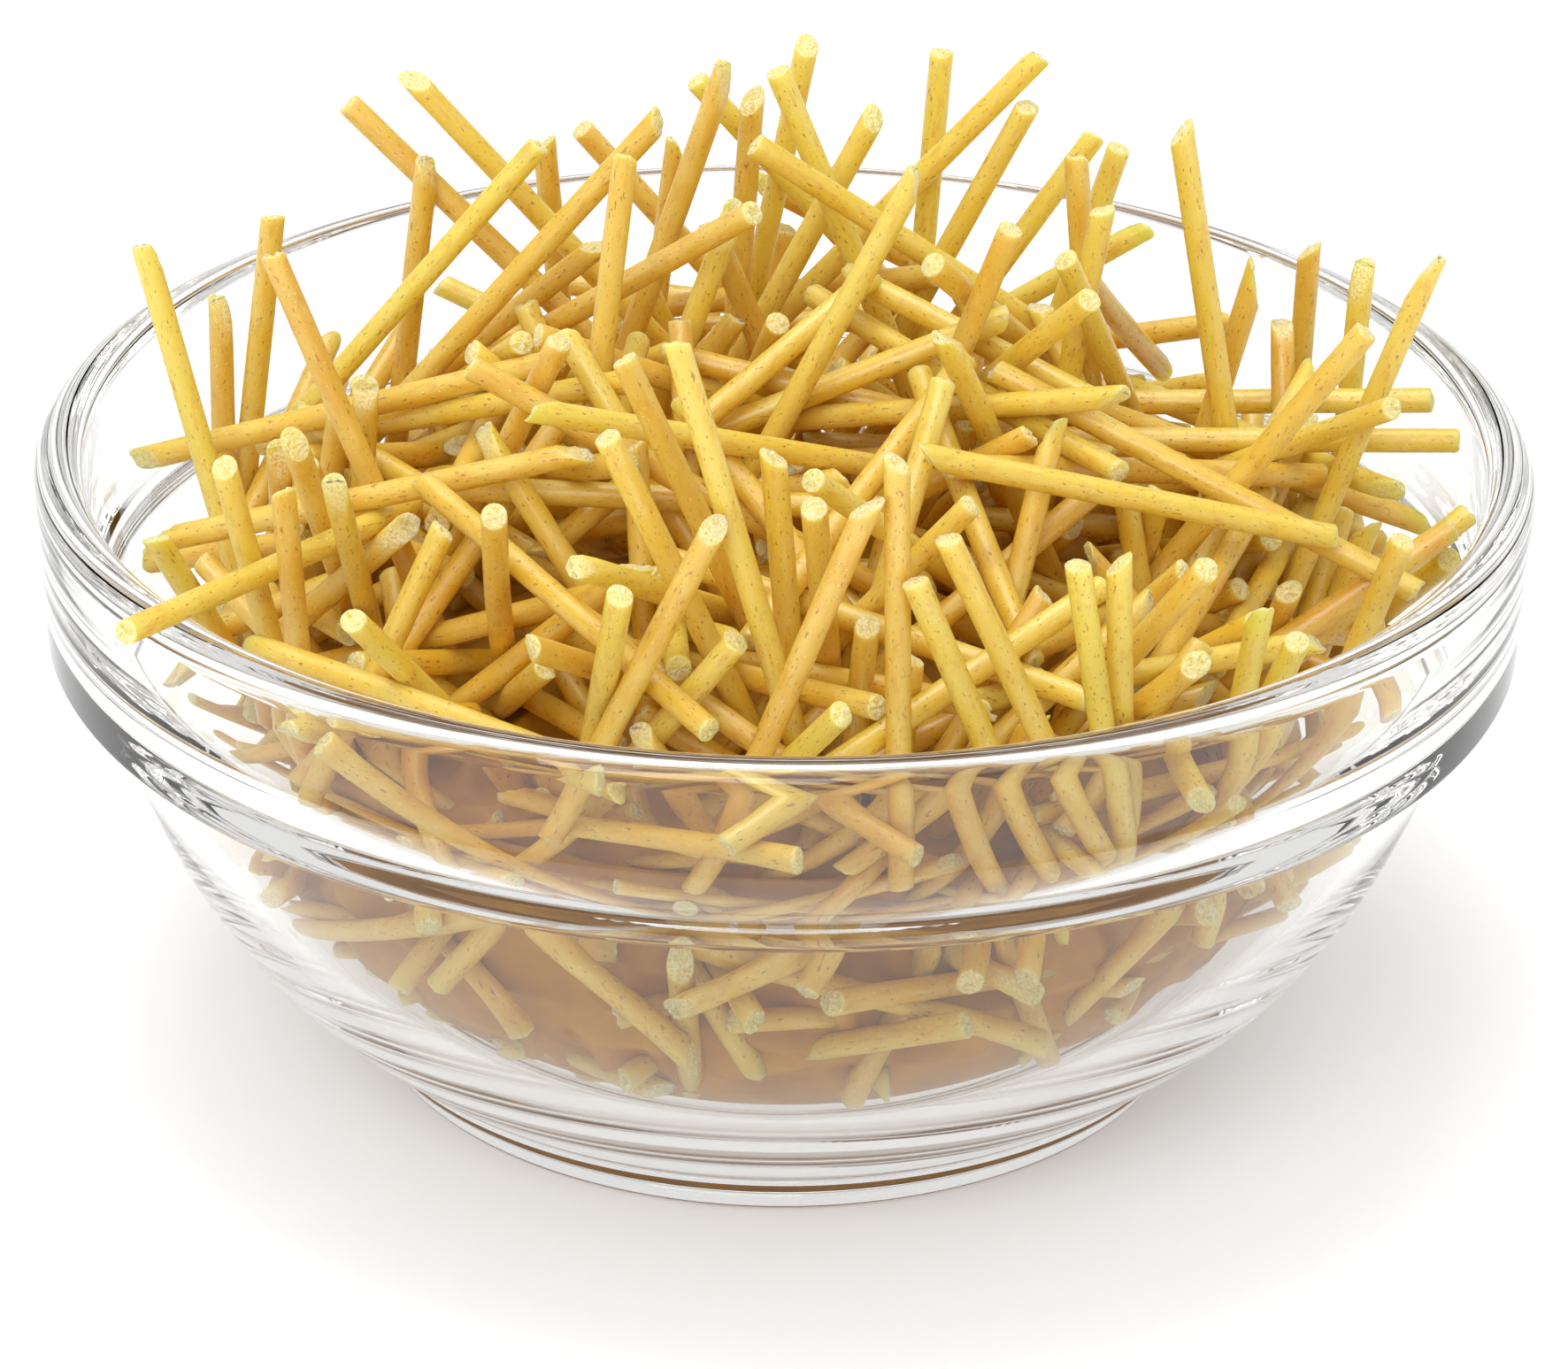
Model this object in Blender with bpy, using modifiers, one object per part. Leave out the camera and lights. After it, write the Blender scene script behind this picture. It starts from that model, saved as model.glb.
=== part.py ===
"""A clear glass stacking bowl heaped with short broken lengths of dry spaghetti.

Two solids: the bowl, turned from one profile, and the heap, one solid out to its uneven outline.
Metres, +Z up, the middle of the foot at the origin. The usual front of the heap faces -Y.
"""

import math
import random

import bmesh
import bpy
from mathutils import Vector, noise
from mathutils.geometry import interpolate_bezier

# ---- Driving dimensions, in metres ----
RIM_RADIUS = 0.060
BOWL_HEIGHT = 0.0525
RIM_ROUND = 0.002  # the rim is a half round, twice this thick

COLLAR_RADIUS = 0.0594  # the straight band under the rim, at its lower edge
COLLAR_BOTTOM = 0.0370
LEDGE_ROUND = 0.0009
BODY_TOP_RADIUS = 0.0560  # where the body leaves the ledge
BODY_INNER_RADIUS = 0.0520  # inside, at the top of the body
SHOULDER_HEIGHT = 0.0340  # where the inside starts to step out, for the next bowl's foot
COLLAR_INNER_RADIUS = 0.0558

FOOT_RADIUS = 0.0328
FOOT_STEP_HEIGHT = 0.0022  # each of the two rounded steps
FOOT_STEP_OUT = 0.0016
FOOT_RING_WIDTH = 0.0055
FOOT_RECESS = 0.0008
BODY_FOOT_RADIUS = FOOT_RADIUS + 2 * FOOT_STEP_OUT
BODY_FOOT_HEIGHT = 2 * FOOT_STEP_HEIGHT

FLOOR_HEIGHT = 0.0046  # the inside floor of the bowl
FLOOR_RADIUS = 0.0215

STICK_RADIUS = 0.0010
STICK_LENGTH = 0.038
GAP = 0.0003  # air between the heap and the glass

HEAP_RADIUS = 0.0545
HEAP_EDGE_HEIGHT = 0.0420  # where the heap meets the wall, at its sides
HEAP_RISE = 0.0225  # from there to the top of the mound
HEAP_TILT = 0.0038  # how much higher its edge is in front, and lower at the back
HEAP_UNEVEN = 0.0022

BOWL_STEPS = 48
HEAP_STEPS = 40
STICK_SIDES = 6
LYING_STICKS = 26
SEED = 11

# Sticks that stand clear of the mound, placed by hand. Each row is the free end in millimetres
# (right, back, up), the compass heading that it runs to (0 right, 90 back), and how steeply it
# dips into the heap, both in degrees.
STANDING = (
    (-51, 0, 68, 320, 70),
    (-46, 14, 58, 275, 80),
    (-41, 12, 66, 180, 84),
    (-40, -8, 71, 340, 66),
    (-36, 22, 72, 350, 42),
    (-31, 20, 74, 0, 50),
    (-29, 20, 68, 180, 84),
    (-20, 14, 71, 185, 55),
    (-18, 28, 67, 0, 50),
    (-10, 10, 76, 178, 48),
    (-8, 22, 74, 0, 50),
    (-5, 16, 78, 180, 72),
    (-1, 14, 78, 0, 68),
    (2, 24, 76, 180, 80),
    (7, 18, 74, 180, 65),
    (12, 22, 77, 180, 85),
    (21, 22, 77, 180, 50),
    (19, 18, 74, 180, 65),
    (25, 20, 71, 180, 58),
    (22, 8, 73, 0, 85),
    (31, 4, 78, 345, 80),
    (38, 8, 65, 185, 76),
    (43, 22, 61, 180, 88),
    (47, 18, 61, 180, 86),
    (50, 0, 69, 195, 68),
    (45, -12, 67, 180, 56),
    (48, -6, 58, 155, 30),
    (47, -27, 57, 150, 70),
    (32, -41, 60, 150, 55),
    (24, -46, 64, 85, 73),
    (21, -47, 64, 65, 70),
    (10, -48, 64, 35, 65),
    (8, -47, 71, 65, 85),
    (2, -40, 66, 60, 38),
    (10, -4, 77, 190, 63),
    (18, -4, 73, 170, 70),
    (-3, 0, 73, 140, 38),
    (-8, -44, 78, 15, 76),
    (-12, -2, 77, 240, 80),
    (-14, -43, 71, 30, 66),
    (-11, -50, 62, 100, 57),
    (-39, -31, 63, 75, 75),
    (-33, -46, 56, 55, 40),
    (-48, -44, 55, 57, 6),
)


def material(name, colour, roughness, transmission=0.0):
    made = bpy.data.materials.new(name)
    made.use_nodes = True
    shader = made.node_tree.nodes["Principled BSDF"]
    shader.inputs["Base Color"].default_value = (*colour, 1)
    shader.inputs["Roughness"].default_value = roughness
    shader.inputs["Transmission Weight"].default_value = transmission
    return made


def collection(name, hidden=False):
    made = bpy.data.collections.new(name)
    bpy.context.scene.collection.children.link(made)
    made.hide_render = hidden
    return made


def arc(centre, radius, start, end, steps):
    """Points round a centre in the profile's plane, angles in degrees."""
    turns = [math.radians(start + (end - start) * i / steps) for i in range(steps + 1)]
    return [(centre[0] + radius * math.cos(a), centre[1] + radius * math.sin(a)) for a in turns]


def bend(a, b, c, d, steps):
    """Points on the cubic curve from a to d, pulled towards b and c."""
    corners = [Vector((r, 0, z)) for r, z in (a, b, c, d)]
    return [(p.x, p.z) for p in interpolate_bezier(*corners, steps)]


def inner_wall():
    """The inside of the bowl, from the middle of its floor over the shoulder up to the rim."""
    floor = (FLOOR_RADIUS, FLOOR_HEIGHT)
    shoulder = (BODY_INNER_RADIUS, SHOULDER_HEIGHT)
    inner_rim = (RIM_RADIUS - 2 * RIM_ROUND, BOWL_HEIGHT - RIM_ROUND)
    body = bend(floor, (0.034, FLOOR_HEIGHT), (0.0470, 0.0150), shoulder, 11)
    step = bend(shoulder, (0.0536, 0.0390), (COLLAR_INNER_RADIUS, 0.0400), inner_rim, 6)
    return [(0, FLOOR_HEIGHT), *body, *step[1:]]


def outer_wall():
    """The outside, from the rim down over the collar and its ledge to the foot."""
    rim = arc((RIM_RADIUS - RIM_ROUND, BOWL_HEIGHT - RIM_ROUND), RIM_ROUND, 180, 0, 8)
    ledge = arc((COLLAR_RADIUS - LEDGE_ROUND, COLLAR_BOTTOM + LEDGE_ROUND), LEDGE_ROUND, 0, -90, 3)
    top = (BODY_TOP_RADIUS, COLLAR_BOTTOM - 0.0003)
    foot = (BODY_FOOT_RADIUS, BODY_FOOT_HEIGHT)
    body = bend(top, (0.0505, 0.0170), (0.0446, 0.0115), foot, 11)
    steps = []
    for i in (1, 0):
        radius = FOOT_RADIUS + i * FOOT_STEP_OUT
        middle = (radius - 0.0002, (i + 0.5) * FOOT_STEP_HEIGHT)
        steps += arc(middle, 0.0009, 60, -60, 3)
        if i:
            steps.append((radius - 0.0006, i * FOOT_STEP_HEIGHT))
    ring_inner = FOOT_RADIUS - FOOT_RING_WIDTH
    base = [
        (FOOT_RADIUS - 0.0006, 0),
        (ring_inner, 0),
        (ring_inner - 0.0015, FOOT_RECESS),
        (0, FOOT_RECESS),
    ]
    return rim[1:] + ledge + body + steps + base


def turned(name, profile, steps, into, finish):
    """A solid of revolution about Z, from a profile of (radius, height) points."""
    mesh = bpy.data.meshes.new(name)
    sketch = bmesh.new()
    points = [sketch.verts.new((r, 0, z)) for r, z in profile]
    for a, b in zip(points, points[1:]):
        sketch.edges.new((a, b))
    sketch.to_mesh(mesh)
    sketch.free()
    mesh.materials.append(finish)
    made = bpy.data.objects.new(name, mesh)
    into.objects.link(made)
    screw = made.modifiers.new("Turn", "SCREW")
    screw.steps = screw.render_steps = steps
    screw.use_merge_vertices = True
    screw.merge_threshold = 0.00001
    screw.use_smooth_shade = False
    return made


def inset(profile, by):
    """A profile moved towards the axis side of its own line, by a gap."""
    moved = []
    for i, (r, z) in enumerate(profile):
        before = profile[max(i - 1, 0)]
        after = profile[min(i + 1, len(profile) - 1)]
        along = Vector((after[0] - before[0], after[1] - before[1])).normalized()
        moved.append((max(r - along.y * by, 0), z + along.x * by))
    return moved


def mound_height(radius):
    """Height of the smooth mound at a distance from the axis."""
    share = min(radius / HEAP_RADIUS, 1)
    return HEAP_EDGE_HEIGHT + HEAP_RISE * (1 - share**2.2)


def applied(obj):
    """Bakes an object's modifiers into its mesh."""
    bpy.context.view_layer.update()
    graph = bpy.context.evaluated_depsgraph_get()
    mesh = bpy.data.meshes.new_from_object(obj.evaluated_get(graph))
    obj.modifiers.clear()
    obj.data = mesh


def wall_radius(height):
    """Inside radius of the bowl at a height above its floor."""
    wall = inner_wall()
    for (r1, z1), (r2, z2) in zip(wall[1:], wall[2:]):
        if height <= z2:
            return r1 + (r2 - r1) * max(0.0, height - z1) / (z2 - z1)
    return wall[-1][0]


def make_mound(into, finish):
    """The heap without its loose ends: it follows the glass below and is lumpy on top."""
    below = [p for p in inset(inner_wall(), GAP) if p[1] < SHOULDER_HEIGHT - 0.001]
    step = HEAP_EDGE_HEIGHT - SHOULDER_HEIGHT
    band = [SHOULDER_HEIGHT + step * i / 4 for i in range(4)]
    beside = [(wall_radius(z) - GAP, z) for z in band]
    rings = 11
    reach = wall_radius(HEAP_EDGE_HEIGHT) - GAP
    over = [(reach * i / rings, mound_height(reach * i / rings)) for i in range(rings + 1)]
    heap = turned("spaghetti", over + beside[::-1] + below[::-1], HEAP_STEPS, into, finish)
    applied(heap)
    for vertex in heap.data.vertices:
        co = vertex.co
        if co.z < SHOULDER_HEIGHT - 0.0005:
            continue
        radius = math.hypot(co.x, co.y)
        tilt = HEAP_TILT * co.y / reach
        if radius > reach - 0.0005 or co.z < HEAP_EDGE_HEIGHT - 0.0005:
            share = (co.z - SHOULDER_HEIGHT) / step
            co.z -= tilt * min(share, 1)
            pull = (wall_radius(co.z) - GAP) / radius
            co.x *= pull
            co.y *= pull
        else:
            lump = noise.noise(co * 95) + 0.6 * noise.noise(co * 230 + Vector((5, 0, 0)))
            co.z += HEAP_UNEVEN * lump - tilt
    return heap


def add_stick(end, heading, dip, length, into):
    """A length of spaghetti from its free end, as a hidden piece for the Boolean."""
    turn = math.radians(heading)
    fall = math.radians(dip)
    level = math.cos(fall)
    way = Vector((math.cos(turn) * level, math.sin(turn) * level, -math.sin(fall)))
    bpy.ops.mesh.primitive_cylinder_add(
        vertices=STICK_SIDES,
        radius=STICK_RADIUS,
        depth=length,
        location=Vector(end) + way * length / 2,
        rotation=way.to_track_quat("Z", "Y").to_euler(),
    )
    stick = bpy.context.object
    stick.name = f"stick_{len(into.objects):03d}"
    stick.hide_render = True
    stick.display_type = "WIRE"
    for holder in stick.users_collection:
        holder.objects.unlink(stick)
    into.objects.link(stick)


def inside_bowl(point):
    """Whether a stick's end keeps clear of the glass."""
    clear = STICK_RADIUS + 0.002
    return math.hypot(point.x, point.y) < wall_radius(point.z - clear) - clear


def add_lying_sticks(into):
    """Sticks half sunk in the mound, at seeded places and headings."""
    draw = random.Random(SEED)
    placed = 0
    while placed < LYING_STICKS:
        radius = HEAP_RADIUS * math.sqrt(draw.uniform(0.02, 0.72))
        around = draw.uniform(0, math.tau)
        middle = Vector((radius * math.cos(around), radius * math.sin(around), 0))
        middle.z = mound_height(radius) - HEAP_TILT * middle.y / HEAP_RADIUS
        middle.z += draw.uniform(-0.0005, 0.0012)
        heading = draw.uniform(0, 360)
        dip = draw.uniform(-28, 28)
        length = STICK_LENGTH * draw.uniform(0.6, 1)
        turn, fall = math.radians(heading), math.radians(dip)
        way = Vector((math.cos(turn), math.sin(turn), -math.tan(fall))) * math.cos(fall)
        ends = middle - way * length / 2, middle + way * length / 2
        if all(inside_bowl(end) for end in ends):
            add_stick(ends[0], heading, dip, length, into)
            placed += 1


def make_heap(into, pieces, finish):
    heap = make_mound(into, finish)
    for x, y, z, heading, dip in STANDING:
        end = Vector((x, y, z)) / 1000
        add_stick(end, heading, dip, STICK_LENGTH * 0.82, pieces)
    add_lying_sticks(pieces)
    join = heap.modifiers.new("Sticks", "BOOLEAN")
    join.operation = "UNION"
    join.operand_type = "COLLECTION"
    join.collection = pieces
    join.solver = "EXACT"
    return heap


def main():
    for obj in list(bpy.data.objects):
        bpy.data.objects.remove(obj)
    parts = collection("bowl_of_dry_spaghetti")
    pieces = collection("heap_pieces", hidden=True)
    glass = material("clear_glass", (0.95, 0.97, 0.96), 0.02, transmission=1.0)
    pasta = material("dry_pasta", (0.74, 0.50, 0.12), 0.45)
    turned("bowl", inner_wall() + outer_wall(), BOWL_STEPS, parts, glass)
    make_heap(parts, pieces, pasta)


main()
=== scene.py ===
# %% [markdown]
# # A glass bowl of broken dry spaghetti
#
# This lesson dresses a plain frame, one bowl and one mound, as what they stand for: a pressed glass stacking bowl
# and several hundred short lengths of dry pasta. All sizes below are in millimetres and are turned to metres where
# a mesh is made, because Blender's unit is the metre.

# %% [markdown]
# ## The frame
#
# The frame is the plain model that fixes sizes and places: a bowl and a closed mound. Nothing in it is moved. The
# pieces made below take over its look, each riding on the same body.

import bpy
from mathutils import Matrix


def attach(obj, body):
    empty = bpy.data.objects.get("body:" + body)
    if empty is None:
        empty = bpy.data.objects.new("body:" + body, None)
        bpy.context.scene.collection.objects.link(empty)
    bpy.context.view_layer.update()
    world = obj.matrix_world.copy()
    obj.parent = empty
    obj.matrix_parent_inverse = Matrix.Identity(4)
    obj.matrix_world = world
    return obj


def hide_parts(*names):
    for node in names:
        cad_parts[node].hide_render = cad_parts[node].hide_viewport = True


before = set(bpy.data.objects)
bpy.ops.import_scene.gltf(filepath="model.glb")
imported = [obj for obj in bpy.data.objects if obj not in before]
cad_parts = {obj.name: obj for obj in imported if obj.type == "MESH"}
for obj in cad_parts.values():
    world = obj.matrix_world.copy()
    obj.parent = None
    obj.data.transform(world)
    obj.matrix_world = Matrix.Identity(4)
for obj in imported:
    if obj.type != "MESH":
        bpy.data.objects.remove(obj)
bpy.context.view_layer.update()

# %% [markdown]
# ## Small tools
#
# Colours are chosen as sRGB hex codes, which is how colour samples are usually written down, and turned to linear
# light by one function. Another adds one shader node with its settings and links, so that a material below reads
# as a short list of steps.

# %% Tools used all through
import math
import time

import bpy
import numpy as np
from mathutils import Matrix, Vector

MM = 0.001
started = time.time()


def linear(hex_code, alpha=1.0):
    """An sRGB hex colour as the linear values that Blender's shaders work in."""
    parts = [int(hex_code.lstrip("#")[i : i + 2], 16) / 255 for i in (0, 2, 4)]
    curve = [c / 12.92 if c <= 0.04045 else ((c + 0.055) / 1.055) ** 2.4 for c in parts]
    return (*curve, alpha)


def add_node(tree, kind, inputs=None, **settings):
    """A shader node with its settings; each input is a value, or another node's output to link."""
    made = tree.nodes.new(kind)
    for name, value in settings.items():
        setattr(made, name, value)
    for name, value in (inputs or {}).items():
        socket = made.inputs[name]
        if isinstance(value, bpy.types.NodeSocket):
            tree.links.new(value, socket)
        else:
            socket.default_value = value
    return made


# %% [markdown]
# ## The bowl's profile
#
# The real bowl is pressed soda-lime glass: a half-round rim, a straight collar that lets bowls stack, a small ledge,
# a curved body and a foot of two rounded steps. A lathe turns one line into such a shape. The frame's bowl has few
# facets, and glass shows every facet twice, so the same line is drawn again here with many more points.

# %% Draw the profile
RIM_R, HEIGHT, RIM_ROUND = 60.0, 52.5, 2.0
COLLAR_R, COLLAR_LOW, LEDGE_ROUND = 59.4, 37.0, 0.9
FOOT_R, STEP_HIGH, STEP_OUT = 32.8, 2.2, 1.6
FLOOR_Z, FLOOR_R = 4.6, 21.5


def arc(centre, radius, start, end, steps):
    """Points of (radius, height) round a centre, angles in degrees."""
    turn = np.radians(np.linspace(start, end, steps + 1))
    return np.column_stack([centre[0] + radius * np.cos(turn), centre[1] + radius * np.sin(turn)])


def bend(a, b, c, d, steps):
    """Points on the cubic curve from a to d that is pulled towards b and c."""
    t = np.linspace(0, 1, steps)[:, None]
    a, b, c, d = (np.array(point, float) for point in (a, b, c, d))
    return (1 - t) ** 3 * a + 3 * t * (1 - t) ** 2 * b + 3 * t**2 * (1 - t) * c + t**3 * d


def inner_line(steps):
    """The inside, from the middle of the floor over the soft shoulder that the next bowl sits on."""
    curve = bend((FLOOR_R, FLOOR_Z), (34, FLOOR_Z), (47, 15), (52.0, 34), steps)
    collar = bend((52.0, 34), (53.6, 39), (55.8, 40), (56, HEIGHT - RIM_ROUND), steps // 2)
    return np.vstack([[(0, FLOOR_Z), (8, FLOOR_Z), (15, FLOOR_Z)], curve, collar[1:]])


def outer_line():
    """The outside, from the rim down over the collar and its ledge to the middle of the base."""
    rim = arc((RIM_R - RIM_ROUND, HEIGHT - RIM_ROUND), RIM_ROUND, 180, 0, 24)[1:]
    collar = np.column_stack([np.linspace(60, COLLAR_R, 8)[1:], np.linspace(50.5, 37.9, 8)[1:]])
    ledge = arc((COLLAR_R - LEDGE_ROUND, COLLAR_LOW + LEDGE_ROUND), LEDGE_ROUND, 0, -90, 10)[1:]
    body = bend((56.0, 36.7), (50.5, 17.0), (44.6, 11.5), (36, 4.4), 44)
    steps = []
    for i in (1, 0):
        radius = FOOT_R + i * STEP_OUT
        steps.append(arc((radius - 0.2, (i + 0.5) * STEP_HIGH), 0.9, 65, -65, 12))
        if i:
            steps.append([(radius - 0.6, STEP_HIGH)])
    base = [(32.2, 0), (30, 0), (27.3, 0), (26.7, 0.15), (25.8, 0.8), (15, 0.8), (0, 0.8)]
    return np.vstack([rim, collar, ledge, body, *steps, base])


profile = np.vstack([inner_line(40), outer_line()])
print("profile points", len(profile))

# %% [markdown]
# ## Turning the glass
#
# The line is spun round the Z axis in plain array code, which gives full control over the small faults of pressed
# glass: the wall is never perfectly round, and a swell of a few hundredths of a millimetre is what makes the
# edges of things behind it wander.

# %% Turn the bowl
TURNS = 224
SWELL_FROM = 30.0  # nearer the axis than this, the glass is thick and keeps its shape


def mesh_object(name, points, faces, smooth=True):
    """A mesh object from points in millimetres."""
    mesh = bpy.data.meshes.new(name)
    mesh.from_pydata((np.asarray(points) * MM).tolist(), [], faces)
    mesh.polygons.foreach_set("use_smooth", np.broadcast_to(smooth, len(faces)).astype(bool))
    mesh.update()
    made = bpy.data.objects.new(name, mesh)
    bpy.context.scene.collection.objects.link(made)
    return made


def turned(name, line, turns, swell=np.zeros_like):
    """A closed solid of revolution whose first and last points are on the axis."""
    rings = line[1:-1]
    around = np.linspace(0, math.tau, turns, endpoint=False)
    radius = rings[:, :1] + swell(around) * (rings[:, :1] > SWELL_FROM)
    points = np.stack(
        [radius * np.cos(around), radius * np.sin(around), np.repeat(rings[:, 1:], turns, 1)], -1
    ).reshape(-1, 3)
    first, last = len(points), len(points) + 1
    points = np.vstack([points, [(0, 0, line[0, 1]), (0, 0, line[-1, 1])]])
    faces = []
    count = len(rings)
    for j in range(turns):
        k = (j + 1) % turns
        faces.append((first, j, k))
        faces.append((last, (count - 1) * turns + k, (count - 1) * turns + j))
        faces += [(i * turns + j, (i + 1) * turns + j, (i + 1) * turns + k, i * turns + k)
                  for i in range(count - 1)]
    return mesh_object(name, points, faces)


def pressed_swell(around):
    """Radius error in millimetres."""
    return 0.05 * np.sin(3 * around + 0.7) + 0.02 * np.sin(7 * around)


bowl = turned("glass_bowl", profile, TURNS, pressed_swell)
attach(bowl, "root")
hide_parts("bowl")
print("bowl faces", len(bowl.data.polygons))

# %% [markdown]
# ## Soda-lime glass
#
# Pressed soda-lime glass, fire polished: to the eye it is clear, with a faint warmth in thick parts, sharp
# reflections, and dark lines where the rim bends the view past the table. Its refractive index is about 1.5. One plain
# Principled shader with full transmission is enough, since the thickness is really there in the mesh.

# %% Make the glass
glass = bpy.data.materials.new("fire_polished_soda_lime_glass")
glass.use_nodes = True
tree = glass.node_tree
shader = tree.nodes["Principled BSDF"]
shader.inputs["Base Color"].default_value = linear("#FCFCFA")
shader.inputs["Transmission Weight"].default_value = 1.0
shader.inputs["Roughness"].default_value = 0.0
shader.inputs["IOR"].default_value = 1.5
bowl.data.materials.append(glass)

# %% [markdown]
# ## Packing the sticks
#
# Each length is a straight rod, 2.0 mm thick and mostly 36 to 38 mm long. A physics engine could drop them in, but
# dropped rods lie flat, while these were poured into a full bowl and stand at every slope. So the rods start at
# random slopes all through the bowl, as thin lines, and are pushed apart while they grow to full thickness. That is
# position-based dynamics: find each pair's nearest points, move both rods apart, keep each rod's length, repeat.

# %% Distances and the glass as a limit
STICK_R = 1.0
LOOK_EVERY, NEAR = 12, 4.2  # steps between looks for near pairs, and how near counts
wall = np.vstack([inner_line(12), [(56.3, 54.0), (56.3, 130.0)]])


def inside_wall(points, clear):
    """How deep each point is in the glass, or nearer than clear to it, and the way out."""
    radius = np.hypot(points[:, 0], points[:, 1])
    flat = np.column_stack([radius, points[:, 2]])
    start, along = wall[:-1], np.diff(wall, axis=0)
    share = ((flat[:, None] - start) * along).sum(-1) / (along**2).sum(-1)
    off = flat[:, None] - (start + np.clip(share, 0, 1)[..., None] * along)
    distance = np.linalg.norm(off, axis=-1)
    nearest = distance.argmin(1)
    row = np.arange(len(points))
    out = np.column_stack([-along[nearest, 1], along[nearest, 0]])
    out /= np.linalg.norm(out, axis=1)[:, None]
    side = np.sign((off[row, nearest] * out).sum(1)) * distance[row, nearest]
    spoke = points[:, :2] / np.maximum(radius, 1e-6)[:, None]
    return np.maximum(clear - side, 0), np.column_stack([spoke * out[:, :1], out[:, 1]])


def nearest_on_rods(p1, q1, p2, q2):
    """For pairs of rods, how far along each its nearest point to the other is, from 0 to 1."""
    d1, d2, r = q1 - p1, q2 - p2, p1 - p2
    a, e, b = (d1 * d1).sum(1), (d2 * d2).sum(1), (d1 * d2).sum(1)
    c, f = (d1 * r).sum(1), (d2 * r).sum(1)
    s = np.clip((b * f - c * e) / np.maximum(a * e - b * b, 1e-9), 0, 1)
    t = np.clip((b * s + f) / e, 0, 1)
    return np.clip((b * t - c) / a, 0, 1), t


# %% [markdown]
# One step looks only at pairs listed as near, which are listed anew every dozen steps. A push at a place along a rod
# moves its two ends by their shares, as on a seesaw, so rods turn as well as slide. Rods that hang over the rim are
# free of the glass.

# %% One step of pushing apart
class Rods:
    """Straight rods given by their two ends. give is how easily each one moves."""

    def __init__(self, a, b, give, free):
        self.a, self.b, self.give, self.free = a, b, give, free
        self.length = np.linalg.norm(b - a, axis=1)

    def gaps(self):
        """Middle line distance of each pair in reach, with the places and the way between."""
        a, b, i, j = self.a, self.b, self.i, self.j
        s, t = (x[:, None] for x in nearest_on_rods(a[i], b[i], a[j], b[j]))
        apart = a[i] + s * (b[i] - a[i]) - a[j] - t * (b[j] - a[j])
        return s, t, apart, np.linalg.norm(apart, axis=1)

    def look_round(self, reach):
        """Lists the pairs that are near enough to touch soon."""
        middle = (self.a + self.b) / 2
        self.i, self.j = np.triu_indices(len(middle), 1)
        near = np.linalg.norm(middle[self.i] - middle[self.j], axis=1)
        keep = near < (self.length[self.i] + self.length[self.j]) / 2 + reach
        self.i, self.j = self.i[keep], self.j[keep]
        keep = self.gaps()[3] < reach
        self.i, self.j = self.i[keep], self.j[keep]

    def step(self, radius, relax=1.0, clear=1.05):
        """Pushes touching rods apart once, then out of the glass, and keeps their length."""
        s, t, apart, distance = self.gaps()
        hit = distance < 2 * radius
        i, j, s, t = self.i[hit], self.j[hit], s[hit, 0], t[hit, 0]
        way = apart[hit] / np.maximum(distance[hit], 1e-6)[:, None]
        gi, gj = self.give[i], self.give[j]
        ease = gi * ((1 - s) ** 2 + s**2) + gj * ((1 - t) ** 2 + t**2)
        move = way * ((2 * radius - distance[hit]) / ease)[:, None]
        count = np.bincount(i, minlength=len(self.a)) + np.bincount(j, minlength=len(self.a))
        share = (relax / np.maximum(count, 1) ** 0.7)[:, None]
        for ends, si, tj in ((self.a, 1 - s, 1 - t), (self.b, s, t)):
            total = np.zeros_like(ends)
            np.add.at(total, i, move * (si * gi)[:, None])
            np.add.at(total, j, -move * (tj * gj)[:, None])
            ends += total * share
        for part in (0, 1, 0.3, 0.5, 0.7):  # places along the rod, as the glass bulges in at its shoulder
            deep, out = inside_wall(self.a + part * (self.b - self.a), clear * radius)
            push = out * (deep * ~self.free)[:, None]
            self.a += push * (part < 1)
            self.b += push * (part > 0)
        middle, along = (self.a + self.b) / 2, self.b - self.a
        along *= (self.length / np.linalg.norm(along, axis=1) / 2)[:, None]
        self.a, self.b = middle - along, middle + along

    def settle(self, steps, radius, relax=1.0):
        for k in range(steps):
            if k % LOOK_EVERY == 0:
                self.look_round(NEAR)
            self.step(radius(k / steps), relax)

    def drop(self, gone):
        for name in ("a", "b", "give", "free", "length"):
            setattr(self, name, getattr(self, name)[~gone])
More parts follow.
